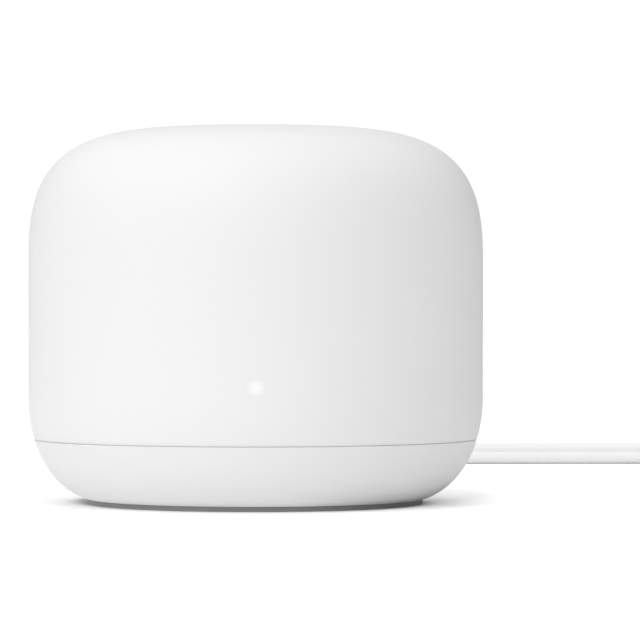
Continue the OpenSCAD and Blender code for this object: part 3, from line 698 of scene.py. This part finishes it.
board_green = plastic("board_green", (0.012, 0.1, 0.045), 0.35, pits=1500, drift=0.25)
board_brown = plastic("board_brown", (0.2, 0.1, 0.035), 0.45, pits=1200, drift=0.2)
tape_yellow = plastic("tape_yellow", (0.6, 0.4, 0.05), 0.4)
screw_steel = metal("screw_steel", (0.55, 0.55, 0.57), 0.35)
nickel = metal("nickel", (0.75, 0.73, 0.7), 0.22)
contact_gold = metal("contact_gold", (0.9, 0.62, 0.22), 0.25)
sink_aluminium = metal("sink_aluminium", (0.72, 0.72, 0.74), 0.4, lines=1500)
spacer_brass = metal("spacer_brass", (0.7, 0.5, 0.2), 0.3)
antenna_copper = metal("antenna_copper", (0.75, 0.42, 0.27), 0.35)

NODE_LOOKS = {
    "foot_pad": silicone_painted_shade, "port_bezel": bezel_grey, "reset_button": button_grey,
    "base_screws": screw_steel, "shell_screws": screw_steel, "board_screws": screw_steel,
    "sink_screws": screw_steel, "light_shroud": dark_moulding, "switch_plunger": dark_moulding,
    "tact_switch": dark_moulding, "wan_jack": dark_moulding, "lan_jack": dark_moulding,
    "dc_jack": dark_moulding, "led_board": board_green, "main_board": board_green,
    "status_led": led_cream, "led_cable": connector_ivory, "led_socket": connector_ivory,
    "jack_contacts": contact_gold, "antenna_sockets": contact_gold, "dc_pin": nickel,
    "dc_barrel": nickel, "adapter_blades": nickel, "radio_cans": nickel, "capacitors": nickel,
    "processor": chip_black, "memory_chips": chip_black, "line_transformers": chip_black,
    "adapter_capacitor": chip_black, "inductors": ferrite_grey, "thermal_pads": thermal_pink,
    "heat_sink": sink_aluminium, "sink_spacers": spacer_brass, "antenna_frame": frame_white,
    "antennas": antenna_copper, "antenna_leads": lead_black, "dc_plug": cord_white,
    "dc_relief": cord_white, "adapter_relief": cord_white, "adapter_board": board_brown,
    "adapter_transformer": tape_yellow,
}


def dress(piece, look):
    """Gives a piece made here its one material."""
    piece.data.materials.clear()
    piece.data.materials.append(look)


for name, look in NODE_LOOKS.items():
    for slot in nodes[name].material_slots:
        slot.material = look
dress(cover, shell_white)
dress(base, base_white)
dress(lens, lens_milk)
dress(cord, cord_white)
dress(case, adapter_white)
dress(face, adapter_white)
dress(strap, tie_grey)

# Floor: its tone as the camera sees it, painted light that grows brighter to the right, and its glow,
# painted light thrown onto the body, each go from a left to a right value over a span in X, and the
# light that it throws back is even before its patches
FLOOR_R = 4.0
FLOOR_Z = -0.03 * MM
FLOOR_SEEN_PAINTED_LIGHT = (1.06, 1.28)
PAINTED_LIGHT_SPAN = (-40 * MM, 60 * MM)
FLOOR_BOUNCE = 0.9
FLOOR_GLOW = (0.1, 0.04)
GLOW_SPAN = (0, 70 * MM)

# Patches added to these by the foot, in mm: middle towards the rear, reach from full to none, place in X
# from none to full, then the amount
# Painted shadows on the seen tone by the foot's left and to the rear right, and painted light by the
# pad's right end
PAINTED_SHADOWS_AND_LIGHT = (
    (12, (40, 48), (34, -46), -0.65),
    (0, (42, 50), (20, 40), 0.42),
    (45, (56, 65), (20, 40), -0.17),
)
# Painted shade in the light that the floor throws back, right of the foot, so the body's lower right is
# darker
BOUNCE_PAINTED_SHADE = (
    (0, (40, 49), (6, 44), -0.63),
    (0, (46, 54), (38, 52), -0.54),
)
# Painted light: the floor glows more by the foot, from the left to the middle, so the body's lower edge
# is lighter
GLOW_PATCHES = (
    (0, (40, 49), (44, 6), 0.23),
)

# Soft lights of the sky: the way towards each, how tightly it gathers, its strength
SKY_LIGHTS = (
    ((0, 0, 1), 1, 1.19),
    ((-0.5, -0.85, 0.1), 2, 0.97),
    ((-0.4, -0.5, 0.77), 8, 0.51),
    ((-0.7, 0.7, 0.14), 4, 0.23),
)
SKY_SEEN = 1.02


def pale_floor():
    """White floor with painted shadows and painted light by the foot, and painted shade in the light it
    throws back.
    """
    steps = 96
    turns = [2 * math.pi * k / steps for k in range(steps)]
    points = [(0, 0, FLOOR_Z)] + [(FLOOR_R * math.cos(a), FLOOR_R * math.sin(a), FLOOR_Z) for a in turns]
    faces = [(0, 1 + k, 1 + (k + 1) % steps) for k in range(steps)]
    floor = make_object("floor", mesh_from("floor", points, faces), body=None)
    made = bpy.data.materials.new("floor_white")
    made.use_nodes = True
    tree = made.node_tree
    link = tree.links.new
    tree.nodes.remove(tree.nodes["Principled BSDF"])
    place = add(tree, "ShaderNodeTexCoord").outputs["Object"]
    split = add(tree, "ShaderNodeSeparateXYZ")
    link(place, split.inputs[0])
    across = split.outputs["X"]

    def ramp(value, span, first, last):
        """Value that goes smoothly from first to last over the span."""
        if span[0] > span[1]:
            span, first, last = span[::-1], last, first
        limits = {"From Min": span[0], "From Max": span[1], "To Min": first, "To Max": last}
        step = add(tree, "ShaderNodeMapRange", limits, interpolation_type="SMOOTHSTEP")
        link(value, step.inputs["Value"])
        return step.outputs[0]

    def joined(how, *values):
        """Sum or product of values, each a number or another node's output."""
        step = add(tree, "ShaderNodeMath", operation=how)
        for value, socket in zip(values, step.inputs):
            if isinstance(value, float):
                socket.default_value = value
            else:
                link(value, socket)
        return step.outputs[0]

    def patched(value, patches):
        """The value with its patches, painted shade and painted light, added."""
        for rear, reach, sides, amount in patches:
            away = add(tree, "ShaderNodeVectorMath", {1: (0, rear * MM, 0)}, operation="DISTANCE")
            link(place, away.inputs[0])
            near = ramp(away.outputs["Value"], [r * MM for r in reach], 1, 0)
            beside = ramp(across, [x * MM for x in sides], 0, amount)
            value = joined("ADD", value, joined("MULTIPLY", near, beside))
        return value

    # Tone to the camera: painted light brighter to the right, with painted shadows and painted light by
    # the foot
    seen = add(tree, "ShaderNodeBsdfDiffuse")
    link(patched(ramp(across, PAINTED_LIGHT_SPAN, *FLOOR_SEEN_PAINTED_LIGHT), PAINTED_SHADOWS_AND_LIGHT), seen.inputs["Color"])
    # Light thrown back, with painted shade right of the foot
    bounce = add(tree, "ShaderNodeBsdfDiffuse")
    link(patched(FLOOR_BOUNCE, BOUNCE_PAINTED_SHADE), bounce.inputs["Color"])
    # Glow of the floor: painted light, stronger on the left and by the foot
    glow = add(tree, "ShaderNodeEmission", {"Color": (1, 1, 1, 1)})
    link(patched(ramp(across, GLOW_SPAN, *FLOOR_GLOW), GLOW_PATCHES), glow.inputs["Strength"])
    thrown = add(tree, "ShaderNodeAddShader")
    clear = add(tree, "ShaderNodeBsdfTransparent")
    ray = add(tree, "ShaderNodeLightPath")
    side = add(tree, "ShaderNodeNewGeometry")
    above = add(tree, "ShaderNodeMixShader")
    pick = add(tree, "ShaderNodeMixShader")
    link(bounce.outputs[0], thrown.inputs[0])
    link(glow.outputs[0], thrown.inputs[1])
    link(ray.outputs["Is Camera Ray"], above.inputs[0])
    link(thrown.outputs[0], above.inputs[1])
    link(seen.outputs[0], above.inputs[2])
    link(side.outputs["Backfacing"], pick.inputs[0])
    link(above.outputs[0], pick.inputs[1])
    link(clear.outputs[0], pick.inputs[2])
    link(pick.outputs[0], tree.nodes["Material Output"].inputs["Surface"])
    dress(floor, made)


def soft_sky():
    """White behind the object; for lighting, the sum of the soft lights."""
    world = bpy.data.worlds.new("studio")
    bpy.context.scene.world = world
    world.use_nodes = True
    tree = world.node_tree
    link = tree.links.new
    tree.nodes.remove(tree.nodes["Background"])
    way = add(tree, "ShaderNodeTexCoord")
    light = add(tree, "ShaderNodeBackground", {"Color": (1, 1, 1, 1)})
    total = None
    for toward, gather, strength in SKY_LIGHTS:
        unit = Vector(toward).normalized()
        facing = add(tree, "ShaderNodeVectorMath", {1: unit}, operation="DOT_PRODUCT")
        link(way.outputs["Generated"], facing.inputs[0])
        front = add(tree, "ShaderNodeMath", {1: 0.0}, operation="MAXIMUM")
        link(facing.outputs["Value"], front.inputs[0])
        bell = add(tree, "ShaderNodeMath", {1: gather}, operation="POWER")
        link(front.outputs[0], bell.inputs[0])
        share = add(tree, "ShaderNodeMath", {1: strength, 2: 0.0}, operation="MULTIPLY_ADD")
        link(bell.outputs[0], share.inputs[0])
        if total:
            link(total.outputs[0], share.inputs[2])
        total = share
    link(total.outputs[0], light.inputs["Strength"])
    seen = add(tree, "ShaderNodeBackground", {"Color": (1, 1, 1, 1), "Strength": SKY_SEEN})
    ray = add(tree, "ShaderNodeLightPath")
    pick = add(tree, "ShaderNodeMixShader")
    link(ray.outputs["Is Camera Ray"], pick.inputs[0])
    link(light.outputs[0], pick.inputs[1])
    link(seen.outputs[0], pick.inputs[2])
    link(pick.outputs[0], tree.nodes["World Output"].inputs["Surface"])


pale_floor()
soft_sky()
bpy.context.scene.view_settings.view_transform = "Standard"
